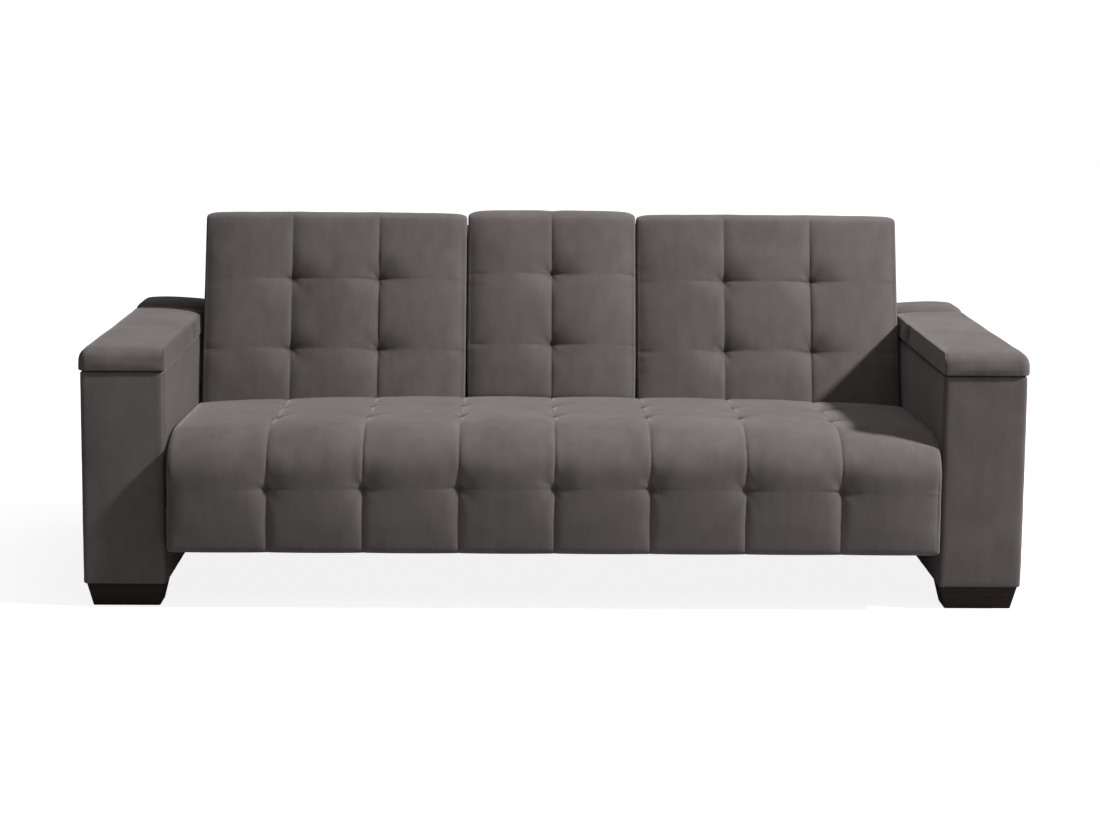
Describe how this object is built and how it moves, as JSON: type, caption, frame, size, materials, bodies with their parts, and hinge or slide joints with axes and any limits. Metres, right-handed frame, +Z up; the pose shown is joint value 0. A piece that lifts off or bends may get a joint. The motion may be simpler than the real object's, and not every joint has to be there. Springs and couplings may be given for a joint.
{
  "type": "fold-flat sofa bed",
  "caption": "Three-seat tufted sofa bed whose back folds flat, with a drop-down centre console and storage arms under lift-up lids",
  "frame": {"origin": "on the floor, midway across and midway from the seat's front to the arms' rear faces", "axes": "+X to the right as seen from the front, +Y to the rear, +Z up"},
  "size_m": [2.235, 0.935, 0.8907],
  "materials": {
    "upholstery": "matte",
    "dust_fabric": "matte",
    "plywood": "matte",
    "pine": "matte",
    "foot_wood": "satin",
    "zinc_steel": "satin",
    "black_steel": "satin",
    "cup_plastic": "matte"
  },
  "bodies": {
    "base": {"left_arm_outer_panel": "plywood", "right_arm_outer_panel": "plywood", "left_arm_inner_panel": "plywood", "right_arm_inner_panel": "plywood", "left_arm_front_panel": "plywood", "right_arm_front_panel": "plywood", "left_arm_rear_panel": "plywood", "right_arm_rear_panel": "plywood", "left_arm_bottom_board": "plywood", "right_arm_bottom_board": "plywood", "left_bin_floor": "plywood", "right_bin_floor": "plywood", "left_bin_divider": "plywood", "right_bin_divider": "plywood", "left_arm_cover": "upholstery", "right_arm_cover": "upholstery", "left_arm_rear_block": "upholstery", "right_arm_rear_block": "upholstery", "left_front_foot": "foot_wood", "right_front_foot": "foot_wood", "left_rear_foot": "foot_wood", "right_rear_foot": "foot_wood", "left_lid_hinge_fixed_leaf": "zinc_steel", "right_lid_hinge_fixed_leaf": "zinc_steel", "left_seat_board": "pine", "right_seat_board": "pine", "foot_bolts": "zinc_steel", "arm_bolts": "zinc_steel", "front_rail": "pine", "rear_beam": "pine", "centre_seat_board": "pine", "centre_leg": "black_steel", "seat_slats": "pine", "seat_cushion": "upholstery", "dust_cover": "dust_fabric", "seat_hinge_plates": "black_steel", "hinge_pins": "zinc_steel"},
    "back": {"left_back_cushion": "upholstery", "right_back_cushion": "upholstery", "left_back_panel": "plywood", "right_back_panel": "plywood", "left_back_outer_stile": "pine", "right_back_outer_stile": "pine", "left_back_inner_stile": "pine", "right_back_inner_stile": "pine", "back_bottom_rail": "pine", "back_rear_cover": "upholstery", "back_hinge_plates": "black_steel", "console_brackets": "black_steel"},
    "console": {"console_cushion": "upholstery", "console_board": "plywood", "console_tray": "upholstery", "cup_liners": "cup_plastic", "console_side_plates": "black_steel"},
    "left_lid": {"left_lid_board": "plywood", "left_lid_pad": "upholstery", "left_lid_hinge_lid_leaf": "zinc_steel"},
    "right_lid": {"right_lid_board": "plywood", "right_lid_pad": "upholstery", "right_lid_hinge_lid_leaf": "zinc_steel"}
  },
  "joints": [
    {"name": "back_fold", "type": "hinge", "parent": "base", "child": "back", "pos_m": [0, 0.1325, 0.365], "axis": [-1, 0, 0], "range_deg": [0, 73]},
    {"name": "console_drop", "type": "hinge", "parent": "back", "child": "console", "pos_m": [0, 0.1566, 0.47802], "axis": [1, 0, 0], "range_deg": [0, 105]},
    {"name": "left_lid_lift", "type": "hinge", "parent": "base", "child": "left_lid", "pos_m": [-1.1142, -0.0525, 0.5636], "axis": [0, -1, 0], "range_deg": [0, 100]},
    {"name": "right_lid_lift", "type": "hinge", "parent": "base", "child": "right_lid", "pos_m": [1.1142, -0.0525, 0.5636], "axis": [0, 1, 0], "range_deg": [0, 100]}
  ]
}
